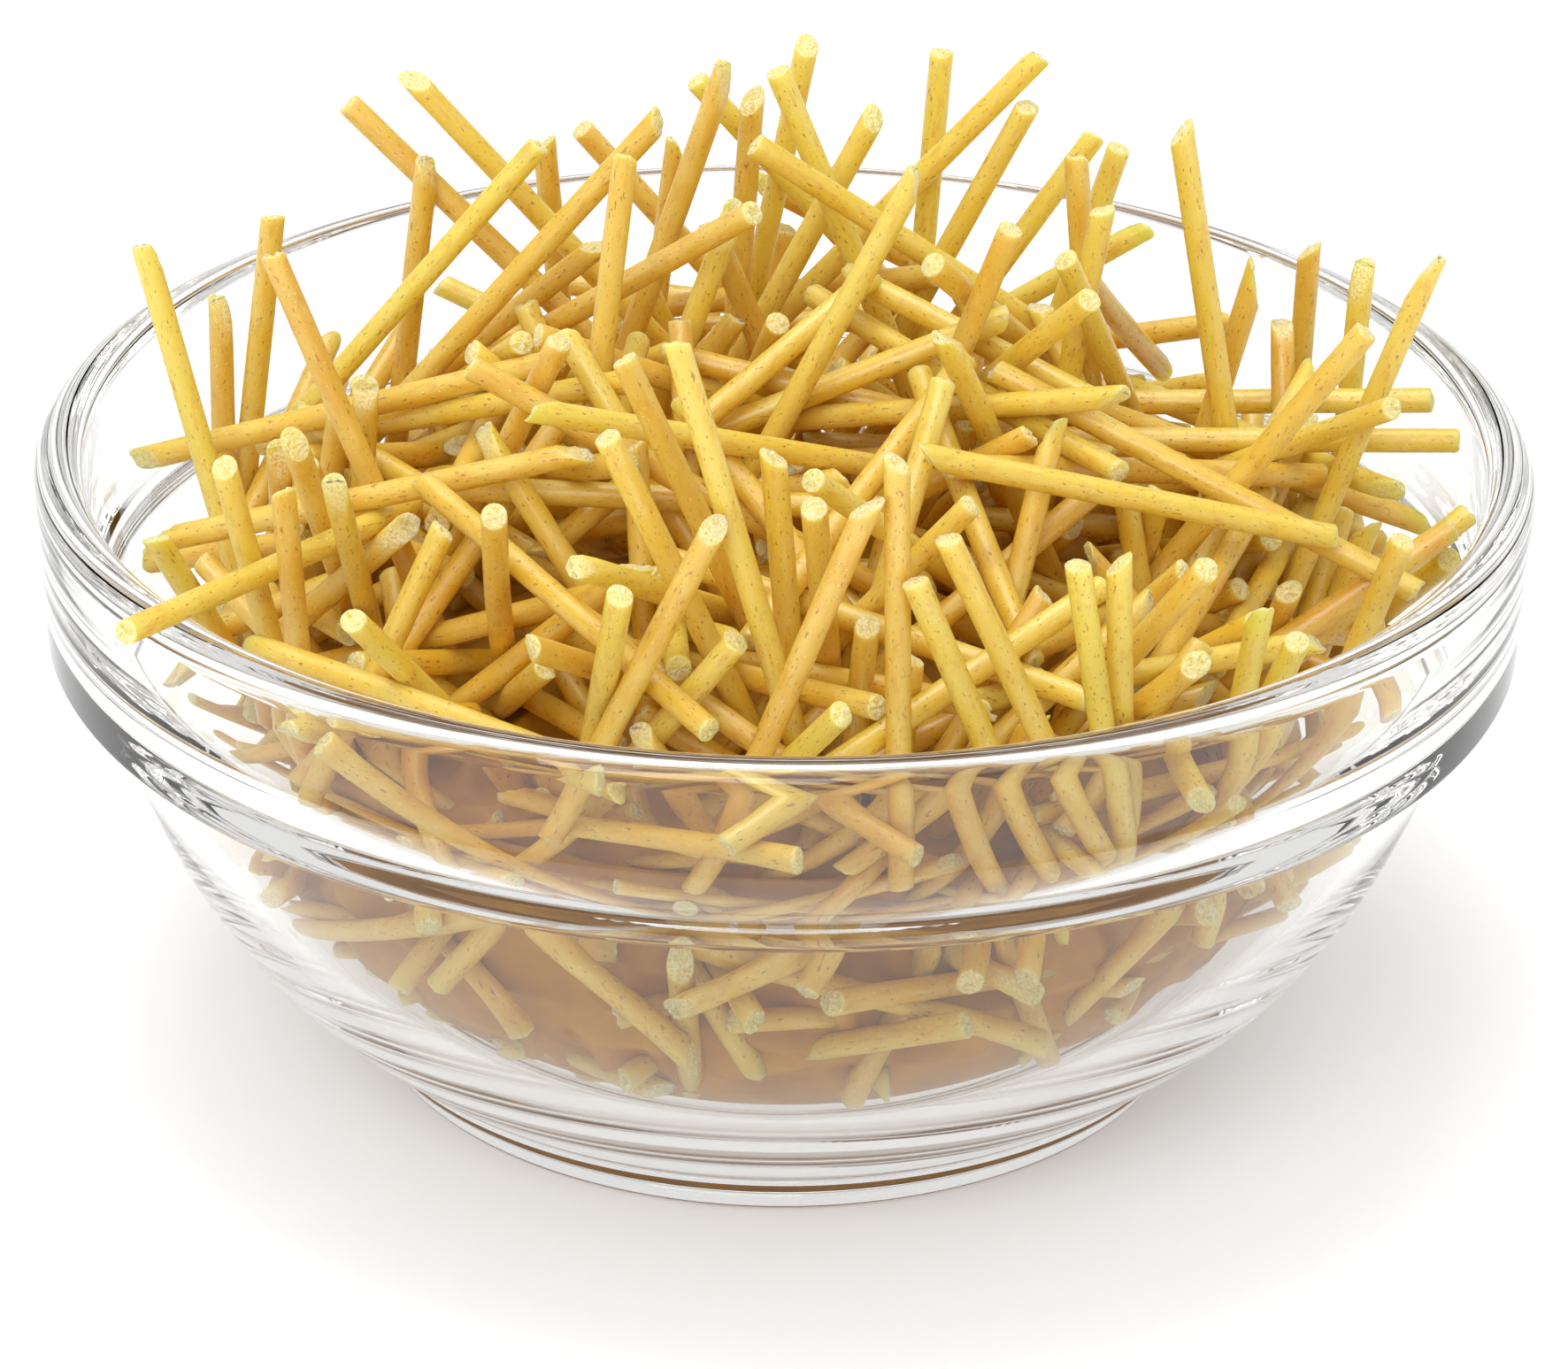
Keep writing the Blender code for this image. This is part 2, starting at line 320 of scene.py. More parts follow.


# %% [markdown]
# ## The sticks that catch the eye
#
# The heap's outline is made by a few dozen sticks that stand clear of it. They are listed one by one: the free end in
# millimetres (right, back, up), the compass heading that the stick runs to (0 right, 90 back), how steeply it dips
# into the heap, and its length. The rest of the heap then packs itself round them.

# %% Place the standing sticks
STANDING = """
-51 0 68 320 70 38, -46 14 58 275 80 34, -41 12 66 180 84 36, -40 -8 71 340 66 38, -36 22 72 350 42 38,
-31 20 74 0 50 38, -29 20 68 180 84 34, -20 25 68 0 85 30, -20 14 71 185 55 34, -10 10 76 178 48 38,
-5 16 78 180 72 38, -8 22 74 0 50 34, -3 21 74 180 84 32, -1 14 78 0 68 36, 2 24 76 180 80 34,
-18 30 66 0 50 30, -9 28 67 180 85 30, -12 -2 77 240 80 38, -3 -4 73 140 38 36, -3 4 70 180 70 36,
-3 6 75 15 38 36, 10 -4 77 190 63 38, -5 -45 66 180 66 30, 12 22 77 180 85 36, 21 22 77 180 50 38,
19 18 74 180 65 36, 25 20 71 180 58 38, 27 24 68 180 73 30, 22 8 73 0 85 34, 25 8 70 180 80 30,
30 26 60 180 35 26, 7 18 74 180 65 36, 18 -4 73 170 70 38, 22 -4 70 65 48 36, 22 -12 69 130 42 36,
12 -10 71 65 38 36, 12 -16 68 55 60 36, 31 4 78 345 80 38, 43 22 61 180 88 32, 47 18 61 180 86 32,
51 0 69 195 68 36, 45 -12 67 180 56 38, 48 -6 58 155 30 34, 38 8 65 185 76 34, 54 2 51 180 2 38,
53 12 50 175 4 36, 54 -7 51 200 35 30, 53 -14 51 190 30 34, 50 -16 47 165 -22 38, 47 -28 57 150 70 34,
32 -41 60 150 55 38, 36 -37 56 115 75 34, 39 -35 52 125 63 32, 31 -45 54 130 43 34, 8 -47 72 65 85 38,
10 -25 62 16 18 36, 2 -40 66 60 38 36, 10 -49 63 35 65 36, 12 -48 66 32 66 36, 21 -47 64 65 70 36,
24 -46 64 85 73 36, 5 -55 55 110 38 26, 7 -48 69 170 69 38, -14 -43 71 30 66 38, -12 -34 73 35 66 38,
-8 -44 79 15 76 38, -21 -38 63 95 48 30, -20 -26 65 30 20 36, -15 -42 60 55 28 36, -11 -51 62 100 57 34,
-18 -49 56 65 30 34, -1 -40 69 75 78 38, 2 -45 66 85 53 38, -29 -20 56 310 10 38, -53 4 47 350 -18 38,
-50 -15 46 350 -18 38, -48 -44 55 57 6 38, -49 -18 52 47 60 25, -42 -30 63 60 72 34, -39 -32 63 75 75 34,
-37 -26 63 75 55 34, -34 -30 62 78 54 34, -33 -47 56 55 40 34, -40 -33 50 325 2 34
"""
rows = np.array([row.split() for row in STANDING.split(",")], float)
turn, dip = np.radians(rows[:, 3]), np.radians(rows[:, 4])
way = np.column_stack([np.cos(turn) * np.cos(dip), np.sin(turn) * np.cos(dip), -np.sin(dip)])
free_ends = rows[:, :3]
over_rim = np.hypot(free_ends[:, 0], free_ends[:, 1]) > 60
standing = Rods(free_ends, free_ends + way * rows[:, 5:], np.ones(len(rows)), over_rim)
standing.settle(200, lambda done: STICK_R * 1.02, relax=0.5)
print("standing sticks", len(rows), "moved at most", np.linalg.norm(standing.a - free_ends, axis=1).max())

# %% [markdown]
# ## The rest of the heap
#
# The heap's outline is a mound, fuller in front. Rods are drawn at random until enough of them lie inside the bowl
# and under the outline. Most have the full length, and one in five is a shorter piece. They start thin and grow
# while they are pushed apart, and the standing sticks hardly give way.

# %% Fill the bowl round them
FILL = 740
HEAP_R, EDGE_HIGH, RISE, TILT, FALL = 54.5, 42.0, 22.5, 3.8, 2.2
rng = np.random.default_rng(5)


def mound(x, y):
    """Height of the heap's smooth outline, fuller in front than at the back."""
    share = np.minimum(np.hypot(x, y) / HEAP_R, 1)
    return EDGE_HIGH + RISE * (1 - share**FALL) - TILT * y / HEAP_R


def random_rods(count):
    """Rods at random places and slopes that start inside the bowl and under the outline."""
    a, b = [], []
    while len(a) < count:
        middle = np.array([*rng.uniform(-55, 55, 2), rng.uniform(5, 66)])
        length = rng.uniform(35.5, 38.5) if rng.random() < 0.8 else rng.uniform(14, 35)
        slope = rng.normal(size=3) * (1, 0.8, 0.8)
        half = slope / np.linalg.norm(slope) * length / 2
        ends = np.array([middle - half, middle + half])
        above = (ends[:, 2] - mound(ends[:, 0], ends[:, 1])).max()
        deep = inside_wall(ends, 1.2)[0].max()
        if middle[2] < mound(middle[0], middle[1]) - 6 and above < 0 and deep < 1.5:
            a.append(ends[0])
            b.append(ends[1])
    return np.array(a), np.array(b)


a, b = random_rods(FILL)
rods = Rods(
    np.vstack([standing.a, a]),
    np.vstack([standing.b, b]),
    np.concatenate([np.full(len(rows), 0.02), np.ones(FILL)]),
    np.concatenate([over_rim, np.zeros(FILL, bool)]),
)
rods.settle(240, lambda done: STICK_R * (0.25 + 0.77 * min(1, done / 0.6)))
rods.settle(200, lambda done: STICK_R * 1.01)

# %% [markdown]
# More rods are drawn than fit. Those that started crossed can't be pushed past each other, so one of each such pair
# is taken out, about a third of them all, and the rest settle a last time.

# %% Take out those that still cross
CROSSED = 0.6  # overlap in millimetres that pushing doesn't cure
rods.look_round(3)
overlap = 2 * STICK_R - rods.gaps()[3]
gone = np.zeros(len(rods.a), bool)
for k in np.argsort(-overlap):
    pair = [n for n in (rods.i[k], rods.j[k]) if rods.give[n] > 0.5]
    if overlap[k] < CROSSED:
        break
    if pair and not gone[rods.i[k]] and not gone[rods.j[k]]:
        gone[pair[-1]] = True
rods.drop(gone)
rods.settle(500, lambda done: STICK_R * 1.01)
rods.look_round(3)
overlap = 2 * STICK_R - rods.gaps()[3]
print("sticks", len(rods.a), "taken out", int(gone.sum()), "deepest overlap mm", round(float(overlap.max()), 3))
print("packing took", round(time.time() - started, 1), "s")

# %% [markdown]
# ## The core
#
# Deep in the heap the sticks are packed so close that the eye sees one amber mass, above all through the glass. A
# core stands for it: it keeps a few millimetres inside the wall and well under the outline, so that real sticks
# cover it. Its skin is not smooth: wherever a rod would lie half sunk in it, the skin is pushed out to the rod. On
# the floor it touches the glass, because the rings of the foot mirror what lies on the floor.

# %% Shape the core
CORE_R, CORE_TOP, CORE_DROP = 40.0, 41.0, 10.0
TOUCH, TOUCH_TOP = 0.15, 5.5  # up to this height the core sinks into the glass by TOUCH, and so colours the foot
TOP_POINTS, FLOOR_POINTS = 40, 10
RELIEF_RODS = 320
RELIEF_FROM = 10.0  # the skin is smooth below this height, so that no rod is pushed into the glass


def core_top(radius):
    """Height of the core's top at a distance from the axis."""
    return CORE_TOP - CORE_DROP * (np.minimum(radius, CORE_R) / CORE_R) ** FALL


def core_line():
    """The core's outline from the middle of its top down to the middle of its underside."""
    radius = np.linspace(0, CORE_R, TOP_POINTS)
    top = np.column_stack([radius, core_top(radius)])
    side = inner_line(60)
    side = side[(side[:, 0] > 22) & (side[:, 1] < 32)][::-1]
    inset = 10 * np.clip((side[:, 1] - TOUCH_TOP) / 26, 0, 1)
    side = side + np.column_stack([np.where(inset > 0, -inset, TOUCH), 0.1 * inset - TOUCH * (inset == 0)])
    floor = np.column_stack([np.linspace(21, 0, FLOOR_POINTS), np.full(FLOOR_POINTS, FLOOR_Z - TOUCH)])
    return np.vstack([top, side, floor])


def rod_relief(points, normals, count, draw):
    """Pushes points out to rods that lie half sunk at random places on the skin."""
    lift = np.zeros(len(points))
    for place in draw.integers(0, len(points), count):
        heart, out = points[place], normals[place]
        way = np.cross(out, draw.normal(size=3))
        way /= np.linalg.norm(way)
        off = points - (heart - out * draw.uniform(0.1, 0.7))
        along = np.clip(off @ way, -18, 18)
        near2 = ((off - along[:, None] * way) ** 2).sum(1)
        lift = np.maximum(lift, np.sqrt(np.maximum(STICK_R**2 - near2, 0)))
    lift *= np.clip((points[:, 2] - RELIEF_FROM) / 4, 0, 1)
    return points + normals * lift[:, None]


core = turned("spaghetti_core", core_line(), 256)
mesh = core.data
places = np.empty(len(mesh.vertices) * 3)
mesh.vertices.foreach_get("co", places)
normals = np.empty(len(mesh.vertices) * 3)
mesh.vertices.foreach_get("normal", normals)
relief = rod_relief(
    places.reshape(-1, 3) / MM, normals.reshape(-1, 3), RELIEF_RODS, np.random.default_rng(3)
)
mesh.vertices.foreach_set("co", (relief * MM).ravel())
mesh.update()
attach(core, "root")
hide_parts("spaghetti")
print("core points", len(relief), "seconds", round(time.time() - started, 1))

# %% [markdown]
# ## One stick's shape
#
# A length of spaghetti is a plain rod along its sides, so what tells it from a cylinder is its ends. Dry pasta
# snaps: most ends are flat but rough, some are slanted, and a few lose a long splinter and taper like a chisel. All
# sticks share one layout of rings, and each one's end rings are moved by its own slant, chips and splinter.

# %% Shape all the sticks
SIDES = 16
LEAD = np.array([0.0, 0.12, 0.4, 1.0, 2.2, 4.2])  # rings near each end, in millimetres from the tip
CHIP = (0.12, 0.06, 0.0, 0.0, 0.0, 0.0)  # how far chips move each of those rings
TAPER = (0.90, 0.985, 1.0, 1.0, 1.0, 1.0)  # its thickness
PALE = (0.9, 0.45, 0.12, 0.0, 0.0, 0.0)  # how broken it looks


def end_shape(count, draw):
    """For one end of each stick: offsets along the stick of its rings, and its splinter's cut."""
    heading = draw.uniform(0, math.tau, count)
    slant = np.abs(draw.normal(0, 0.22, count))
    sharp = draw.random(count) < 0.22
    slant[sharp] = draw.uniform(0.5, 1.1, sharp.sum())
    splinter = np.where(draw.random(count) < 0.16, draw.uniform(1.5, 4.0, count), 0.0)
    return heading, slant, splinter


def shape_end(x, y, s, broken, side, draw):
    """Slants, chips and splinters one end. side is 0 for the first end and 1 for the last."""
    count = len(x)
    heading, slant, splinter = end_shape(count, draw)
    around = x * np.cos(heading)[:, None, None] + y * np.sin(heading)[:, None, None]
    fade = 1 - np.minimum(LEAD / LEAD[-1], 1)
    rings = np.arange(len(LEAD)) if side == 0 else -1 - np.arange(len(LEAD))
    sign = 1 if side == 0 else -1
    for k, ring in enumerate(rings):
        s[:, ring] += sign * slant[:, None] * (1 + around[:, ring]) * fade[k] * 1.2
        s[:, ring] += sign * np.abs(draw.normal(0, CHIP[k], (count, SIDES)))
        x[:, ring] *= TAPER[k]
        y[:, ring] *= TAPER[k]
        broken[:, ring] = PALE[k]
        limit = np.where(splinter > 0, -0.25 + 1.4 * LEAD[k] / np.maximum(splinter, 0.1), 9.0)
        cut = np.maximum(around[:, ring] - limit[:, None], 0)
        x[:, ring] -= cut * np.cos(heading)[:, None]
        y[:, ring] -= cut * np.sin(heading)[:, None]
        broken[:, ring] = np.maximum(broken[:, ring], np.minimum(cut * 4, 1) * 0.8)


def stick_arrays(lengths, draw):
    """Local points (x, y, along) and how broken each is, for the side rings of every stick."""
    count = len(lengths)
    middle = LEAD[-1] + (lengths[:, None] - 2 * LEAD[-1]) * np.array([0.25, 0.5, 0.75])
    rings = np.hstack([np.tile(LEAD, (count, 1)), middle, lengths[:, None] - LEAD[::-1]])
    turn = np.linspace(0, math.tau, SIDES, endpoint=False)
    thick = STICK_R * draw.normal(1, 0.018, (count, 1, 1))
    thick = thick * draw.normal(1, 0.006, (count, rings.shape[1], 1))
    x = thick * np.cos(turn)
    y = thick * np.sin(turn)
    s = np.repeat(rings[..., None], SIDES, 2)
    broken = np.zeros_like(s)
    shape_end(x, y, s, broken, 0, draw)
    shape_end(x, y, s, broken, 1, draw)
    bow = draw.normal(0, 0.12, (count, 1, 1)) * np.sin(np.pi * s / lengths[:, None, None])
    return x + bow, y, s, broken


# %% [markdown]
# ## Joining sticks in one mesh
#
# Hundreds of separate objects are slow, so the sticks of one layer become one mesh. Four things go along on its
# points for the material: each point's place on its own stick, how broken the surface is there, a tone per stick,
# and how deep in the heap the point lies, both under the outline and away from the glass. The UV map gives each
# stick its own strip, so that a colour baked onto it stays sharp.

# %% Build a layer of sticks
def stick_faces(rings, cap=0.09):
    """Faces of one stick and the UV corners of each, in a unit cell. Each end takes up cap of its length."""
    faces, corners = [], []
    for r in range(rings - 1):
        u0, u1 = (cap + (1 - 2 * cap) * q / (rings - 1) for q in (r, r + 1))
        for j in range(SIDES):
            k = (j + 1) % SIDES
            faces.append((r * SIDES + j, r * SIDES + k, (r + 1) * SIDES + k, (r + 1) * SIDES + j))
            v0, v1 = j / SIDES, (j + 1) / SIDES
            corners.append(((u0, v0), (u0, v1), (u1, v1), (u1, v0)))
    spot = [(0.5 + 0.5 * math.cos(math.tau * j / SIDES), 0.5 + 0.5 * math.sin(math.tau * j / SIDES))
            for j in range(SIDES)]
    base = rings * SIDES
    for side, (ring, left) in enumerate(((0, 0.0), (rings - 1, 1 - cap))):
        inner = base + side * (SIDES + 1)
        centre = inner + SIDES
        place = [(left + cap * (0.08 + 0.84 * u), 0.05 + 0.9 * v) for u, v in spot]
        half = [(left + cap * (0.29 + 0.42 * u), 0.275 + 0.45 * v) for u, v in spot]
        mid = (left + cap * 0.5, 0.5)
        for j in range(SIDES):
            k = (j + 1) % SIDES
            quad = [(ring * SIDES + j, place[j]), (inner + j, half[j]),
                    (inner + k, half[k]), (ring * SIDES + k, place[k])]
            fan = [(inner + j, half[j]), (centre, mid), (inner + k, half[k])]
            for shape in (quad, fan):
                if side:
                    shape = shape[::-1]
                faces.append(tuple(point for point, _ in shape))
                corners.append(tuple(uv for _, uv in shape))
    return faces, corners


def local_points(lengths, draw):
    """Points of every stick in its own axes, ends included, and how broken each is."""
    x, y, s, broken = stick_arrays(lengths, draw)
    count = len(lengths)
    pieces = [np.stack((x, y, s), -1).reshape(count, -1, 3)]
    marks = [broken.reshape(count, -1)]
    for ring, sign in ((0, 1), (-1, -1)):
        edge = np.stack([x[:, ring], y[:, ring], s[:, ring]], -1)
        heart = edge.mean(1, keepdims=True)
        inner = heart + (edge - heart) * 0.5
        inner[..., 2] += sign * draw.normal(-0.02, 0.13, (count, SIDES))
        heart[..., 2] += sign * draw.normal(-0.03, 0.16, (count, 1))
        pieces += [inner, heart]
        marks += [np.ones((count, SIDES)), np.ones((count, 1))]
    return np.concatenate(pieces, 1), np.concatenate(marks, 1), s.shape[1]


def placed(local, a, b, lengths):
    """Local points turned to run from ends a to ends b."""
    along = (b - a) / lengths[:, None]
    helper = np.where(np.abs(along[:, 2:]) > 0.9, (1.0, 0, 0), (0, 0, 1.0))
    across = np.cross(along, helper)
    across /= np.linalg.norm(across, axis=1)[:, None]
    third = np.cross(along, across)
    return (a[:, None] + local[..., :1] * across[:, None] + local[..., 1:2] * third[:, None]
            + local[..., 2:] * along[:, None])


# This depth drives the painted shade that turns the pasta amber deep in the heap.
def depth_in_heap(points):
    """From 0 at the outline or the glass to 1 deep in the heap."""
    under = (mound(points[..., 0], points[..., 1]) - points[..., 2]) / 18
    glass_r = np.interp(points[..., 2], wall[3:, 1], wall[3:, 0])
    from_glass = (glass_r - np.hypot(points[..., 0], points[..., 1])) / 9
    return np.clip(np.minimum(under, from_glass), 0, 1)


def strips(corners, count, columns=4):
    """UV corners of every stick: each stick has its own cell of a grid."""
    lines = math.ceil(count / columns)
    unit = np.array([uv for face in corners for uv in face])
    cell = np.arange(count)
    corner = np.column_stack([cell % columns, cell // columns])[:, None]
    return (corner + 0.03 + unit[None] * 0.94) / (columns, lines)


def build_layer(name, a, b, seed):
    """All sticks from ends a to ends b as one mesh object."""
    draw = np.random.default_rng(seed)
    lengths = np.linalg.norm(b - a, axis=1)
    local, mark, rings = local_points(lengths, draw)
    points = placed(local, a, b, lengths)
    faces, corners = stick_faces(rings)
    count, per = local.shape[:2]
    all_faces = [tuple(p + n * per for p in face) for n in range(count) for face in faces]
    on_side = np.tile(np.arange(len(faces)) < (rings - 1) * SIDES, count)
    made = mesh_object(name, points.reshape(-1, 3), all_faces, smooth=on_side)
    offset = draw.uniform(0, 400, (count, 1, 3))
    tone = np.repeat(draw.random(count), per)
    for label, kind, field, values in (
        ("stick_place", "FLOAT_VECTOR", "vector", local + offset),
        ("broken", "FLOAT", "value", mark),
        ("tone", "FLOAT", "value", tone),
        ("depth", "FLOAT", "value", depth_in_heap(points)),
    ):
        layer = made.data.attributes.new(label, kind, "POINT")
        layer.data.foreach_set(field, np.ascontiguousarray(values, np.float32).ravel())
    uv = strips(corners, count)
    made.data.uv_layers.new(name="OFBake").data.foreach_set("uv", uv.astype(np.float32).ravel())
    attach(made, "root")
    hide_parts("spaghetti")
    return made


core_side = core_line()[TOP_POINTS:-FLOOR_POINTS][::-1]


def buried(points, under=2.0):
    """Whether each point is at least so many millimetres inside the core."""
    radius, height = np.hypot(points[:, 0], points[:, 1]), points[:, 2]
    side = np.interp(height, core_side[:, 1], core_side[:, 0])
    return (radius < side - under) & (height < core_top(radius) - under)


hidden = np.ones(len(rods.a), bool)
for share in np.linspace(0, 1, 9):
    hidden &= buried(rods.a + share * (rods.b - rods.a))
rods.drop(hidden)
print("sticks wholly inside the core", int(hidden.sum()), "kept", len(rods.a))
order = np.argsort(-np.maximum(rods.a[:, 2], rods.b[:, 2]))
layers = []
for k, name in enumerate(("spaghetti_top", "spaghetti_middle", "spaghetti_low")):
    pick = np.array_split(order, 3)[k]
    layers.append(build_layer(name, rods.a[pick], rods.b[pick], 20 + k))
    layers[-1].data.calc_loop_triangles()
    print(name, len(pick), "sticks", len(layers[-1].data.loop_triangles), "triangles")

# %% [markdown]
# ## Dry durum pasta
#
# Extruded and dried durum wheat dough: to the eye it is lemon to golden yellow and a little see-through, with a soft
# satin shine on its sides, tiny brown bran flecks drawn out along the stick, small white specks of starch, and
# pale, sugary faces where it snapped. Deeper in the heap the colour is painted amber: painted shade for the light that
# has passed other sticks before it comes up from the depth. Subsurface scattering over a few millimetres gives the
# see-through look.

# %% Make the pasta
def mixed(tree, share, first, second):
    """Colour first turned towards colour second by share."""
    made = add_node(tree, "ShaderNodeMix", {0: share, 6: first, 7: second}, data_type="RGBA")
    return made.outputs[2]


def spots(tree, place, scale, low, high, most, detail=1.0):
    """Noise cut to spots: 0 between them, up to most inside them. Scale is in spots for each millimetre."""
    noise = add_node(tree, "ShaderNodeTexNoise", {"Vector": place, "Scale": scale, "Detail": detail})
    cut = add_node(tree, "ShaderNodeMapRange", {
        "Value": noise.outputs["Fac"], "From Min": low, "From Max": high, "To Min": 0.0, "To Max": most})
    return cut.outputs[0]


def pasta_material():
    made = bpy.data.materials.new("dried_durum_pasta")
    made.use_nodes = True
    tree = made.node_tree
    shader = tree.nodes["Principled BSDF"]
    place = add_node(tree, "ShaderNodeAttribute", attribute_name="stick_place").outputs["Vector"]
    tone = add_node(tree, "ShaderNodeAttribute", attribute_name="tone").outputs["Fac"]
    broken = add_node(tree, "ShaderNodeAttribute", attribute_name="broken").outputs["Fac"]
    drawn = add_node(tree, "ShaderNodeMapping", {"Vector": place, "Scale": (1, 1, 0.4)}).outputs[0]

    base = add_node(tree, "ShaderNodeValToRGB", {"Fac": tone})
    ramp = base.color_ramp
    ramp.elements[0].color = linear("#DAAC38")
    ramp.elements[1].color = linear("#EAD052")
    ramp.elements.new(0.5).color = linear("#E3C042")
    # Painted shade: deeper in the heap the colour is turned towards amber, for light that has passed other sticks.
    depth = add_node(tree, "ShaderNodeAttribute", attribute_name="depth").outputs["Fac"]
    sunk = mixed(tree, depth, base.outputs["Color"], linear("#E8AE10"))
    milky = mixed(tree, spots(tree, drawn, 0.6, 0.35, 0.7, 0.4, 2.0), sunk, linear("#F0DA84"))
    amber = mixed(tree, spots(tree, drawn, 1.5, 0.55, 0.72, 0.35, 2.0), milky, linear("#C98F2C"))
    bran = mixed(tree, spots(tree, drawn, 4.3, 0.65, 0.73, 0.65), amber, linear("#8C5A1C"))
    starch = mixed(tree, spots(tree, place, 5.2, 0.70, 0.76, 0.6), bran, linear("#FFF3CF"))

    grain = add_node(tree, "ShaderNodeTexNoise", {"Vector": place, "Scale": 4.2, "Detail": 1.0})
    crumb = add_node(tree, "ShaderNodeMapRange", {
        "Value": grain.outputs["Fac"], "From Min": 0.35, "From Max": 0.65, "To Min": 0.2, "To Max": 0.85})
    snapped = add_node(tree, "ShaderNodeMath", {0: broken, 1: crumb.outputs[0]}, operation="MULTIPLY")
    colour = mixed(tree, snapped.outputs[0], starch, linear("#FAF0C6"))
    tree.links.new(colour, shader.inputs["Base Color"])

    rough = add_node(tree, "ShaderNodeMapRange", {
        "Value": snapped.outputs[0], "To Min": 0.38, "To Max": 0.46})
    tree.links.new(rough.outputs[0], shader.inputs["Roughness"])
    skin = add_node(tree, "ShaderNodeTexNoise", {"Vector": drawn, "Scale": 7.0, "Detail": 1.0})
    bump = add_node(tree, "ShaderNodeBump", {
        "Height": skin.outputs["Fac"], "Strength": 0.6, "Distance": 0.03 * MM})
    rugged = add_node(tree, "ShaderNodeBump", {
        "Height": grain.outputs["Fac"], "Strength": broken, "Distance": 0.2 * MM,
        "Normal": bump.outputs[0]})
    tree.links.new(rugged.outputs[0], shader.inputs["Normal"])
    shader.inputs["IOR"].default_value = 1.55
    shader.inputs["Specular IOR Level"].default_value = 0.85
    shader.inputs["Subsurface Weight"].default_value = 0.8
    shader.inputs["Subsurface Radius"].default_value = (1.0, 0.8, 0.12)
    shader.inputs["Subsurface Scale"].default_value = 3.0 * MM
    return made


pasta = pasta_material()
for layer in layers:
    layer.data.materials.append(pasta)

# %% [markdown]
# ## The mass in the depth
#
# The same pasta with painted shade: deep in the heap only light that has passed through many sticks arrives, so it
# is painted amber to brown. The core gets a plainer, darker version with soft streaks where one rod gives way to the
# next.

# %% Make the core's finish
deep = bpy.data.materials.new("packed_pasta_painted_depth_shade")
deep.use_nodes = True
tree = deep.node_tree
shader = tree.nodes["Principled BSDF"]
place = add_node(tree, "ShaderNodeTexCoord").outputs["Object"]
streak = add_node(tree, "ShaderNodeTexNoise", {"Vector": place, "Scale": 180.0, "Detail": 3.0})
# Painted shade: these amber-brown tones are darker than the pasta, for the little light that reaches the depth.
brown = add_node(tree, "ShaderNodeValToRGB", {"Fac": streak.outputs["Fac"]})
brown.color_ramp.elements[0].position = 0.3
brown.color_ramp.elements[0].color = linear("#B0720C")
brown.color_ramp.elements[1].position = 0.7
brown.color_ramp.elements[1].color = linear("#D09418")
tree.links.new(brown.outputs["Color"], shader.inputs["Base Color"])
shader.inputs["Roughness"].default_value = 0.6
core.data.materials.append(deep)

# %% [markdown]
# ## Table, light and camera
#
# The bowl stands on a plain pale table in even studio light: one softbox overhead and a wide one in front, so that
# the sticks that face the front are lit too. Glass shows mostly what is round it, so a white surround keeps it clear,
# and a dark band of wall round the room draws the thin dark lines along its edges. The table's paint glows a little,
# a painted light that thins the bowl's shadow.

# %% The table
def plane(name, centre, size, turn, hex_code, glow=0.0):
    """A flat rectangle in metres, with a paint of its own."""
    mesh = bpy.data.meshes.new(name)
    w, d = size[0] / 2, size[1] / 2
    mesh.from_pydata([(-w, -d, 0), (w, -d, 0), (w, d, 0), (-w, d, 0)], [], [(0, 1, 2, 3)])
    made = bpy.data.objects.new(name, mesh)
    made.location = centre
    made.rotation_euler = [math.radians(angle) for angle in turn]
    bpy.context.scene.collection.objects.link(made)
    paint = bpy.data.materials.new(name + "_paint")
    paint.use_nodes = True
    tree = paint.node_tree
    shader = tree.nodes["Principled BSDF"]
    shader.inputs["Base Color"].default_value = linear(hex_code)
    shader.inputs["Roughness"].default_value = 0.9
    shader.inputs["Specular IOR Level"].default_value = 0.1
    # Painted light: the paint itself glows by glow, though the plane is no lamp.
    shader.inputs["Emission Color"].default_value = linear(hex_code)
    shader.inputs["Emission Strength"].default_value = glow
    paint.cycles.emission_sampling = "NONE"
    mesh.materials.append(paint)
    return made


# The table's glow of 0.4 is painted light that thins the bowl's shadow.
plane("table", (0, 0, 0), (8, 8), (0, 0, 0), "#E8E8E8", glow=0.4)

# %% [markdown]
# ## Light
#
# Softboxes are plain rectangles of light. They stay out of the camera's own view, so no white rectangle hangs in
# the room, but the glass still mirrors them. The room is a ramp by height: pale low down, a dark band from about 20
# to 35 degrees above level, and white above.

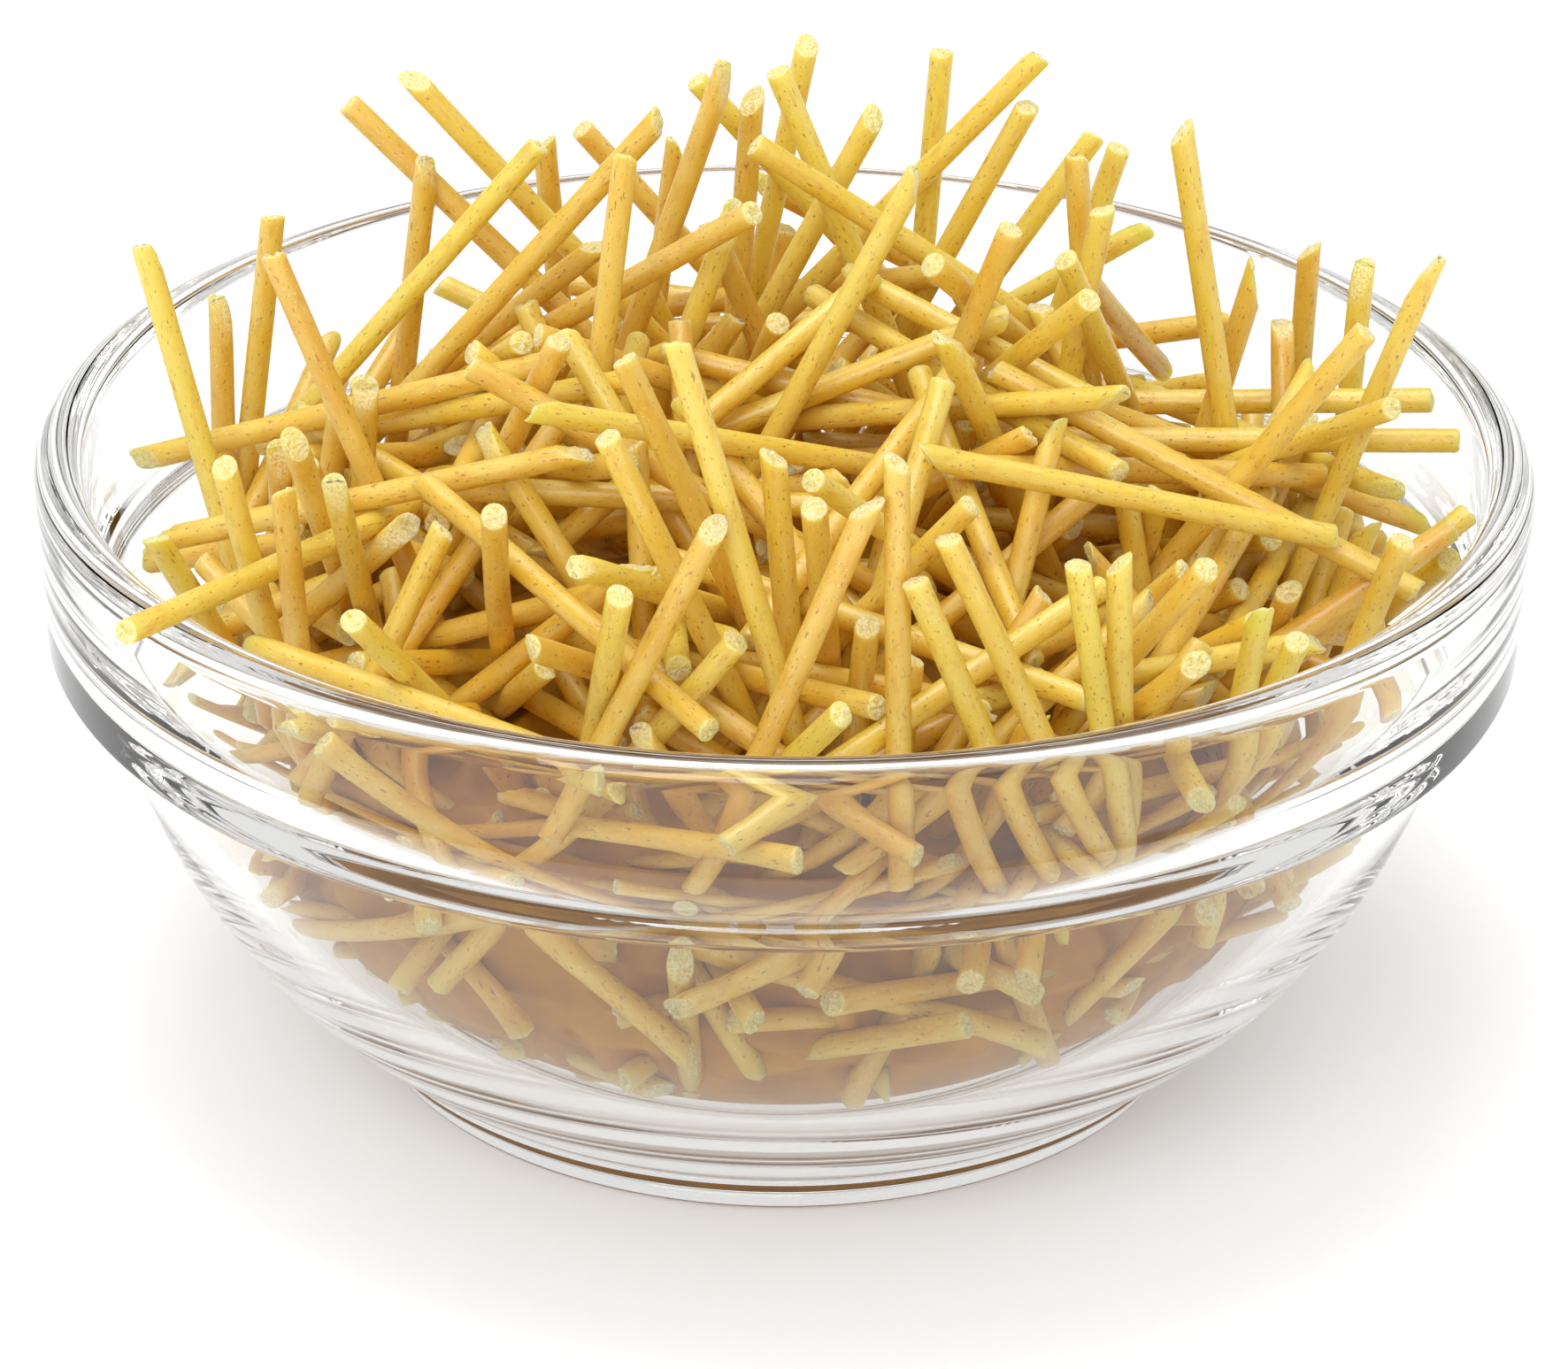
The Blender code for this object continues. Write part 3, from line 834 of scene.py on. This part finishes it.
# %% Set the lights and the room
def area_light(name, place, aim, size, watts, hex_code="#FFFFFF"):
    lamp = bpy.data.lights.new(name, "AREA")
    lamp.shape = "RECTANGLE"
    lamp.size, lamp.size_y = size
    lamp.energy = watts
    lamp.color = linear(hex_code)[:3]
    made = bpy.data.objects.new(name, lamp)
    made.location = place
    made.rotation_euler = (Vector(aim) - Vector(place)).to_track_quat("-Z", "Y").to_euler()
    made.visible_camera = False
    bpy.context.scene.collection.objects.link(made)
    return made


area_light("overhead", (-0.1, 0.05, 0.9), (0, 0, 0.04), (0.5, 0.5), 3.0)
area_light("front_softbox", (-0.25, -1.0, 0.8), (0, 0, 0.04), (0.9, 0.5), 6.5)

world = bpy.data.worlds.new("studio")
world.use_nodes = True
bpy.context.scene.world = world
tree = world.node_tree
background = tree.nodes["Background"]
ray = add_node(tree, "ShaderNodeTexCoord")
height = add_node(tree, "ShaderNodeSeparateXYZ", {"Vector": ray.outputs["Generated"]})
room = add_node(tree, "ShaderNodeValToRGB", {"Fac": height.outputs["Z"]})
stops = room.color_ramp.elements
stops[0].position, stops[0].color = 0.30, linear("#FFFFFF")
stops[1].position, stops[1].color = 0.64, linear("#FFFFFF")
stops.new(0.36).color = linear("#3C3C3C")
stops.new(0.56).color = linear("#3C3C3C")
tree.links.new(room.outputs["Color"], background.inputs["Color"])
background.inputs["Strength"].default_value = 0.95

# Light that runs on inside thick glass needs more bounces than usual before it gets out.
cycles = bpy.context.scene.cycles
cycles.max_bounces = 28
cycles.diffuse_bounces = 3
cycles.transmission_bounces = 24
cycles.glossy_bounces = 24

# %% [markdown]
# ## Camera
#
# A long lens from a little above the rim, 26 degrees over level, shows both the heap and the side of the bowl.

# %% Aim the camera
ELEVATION, DISTANCE, ROLL = 26.0, 0.55, 0.87
AIM = Vector((0.000245, 0, 0.0302))
camera = bpy.data.objects.new("camera", bpy.data.cameras.new("camera"))
camera.data.lens = 154.9
camera.data.sensor_width = 36
camera.data.clip_start = 0.01
tilt = math.radians(ELEVATION)
camera.location = AIM + Vector((0, -math.cos(tilt), math.sin(tilt))) * DISTANCE
turned_to = Matrix.Rotation(math.radians(90 - ELEVATION), 4, "X") @ Matrix.Rotation(math.radians(ROLL), 4, "Z")
camera.rotation_euler = turned_to.to_euler()
bpy.context.scene.collection.objects.link(camera)
bpy.context.scene.camera = camera
bpy.context.scene.view_settings.view_transform = "Standard"
print("camera at", [round(c, 4) for c in camera.location])
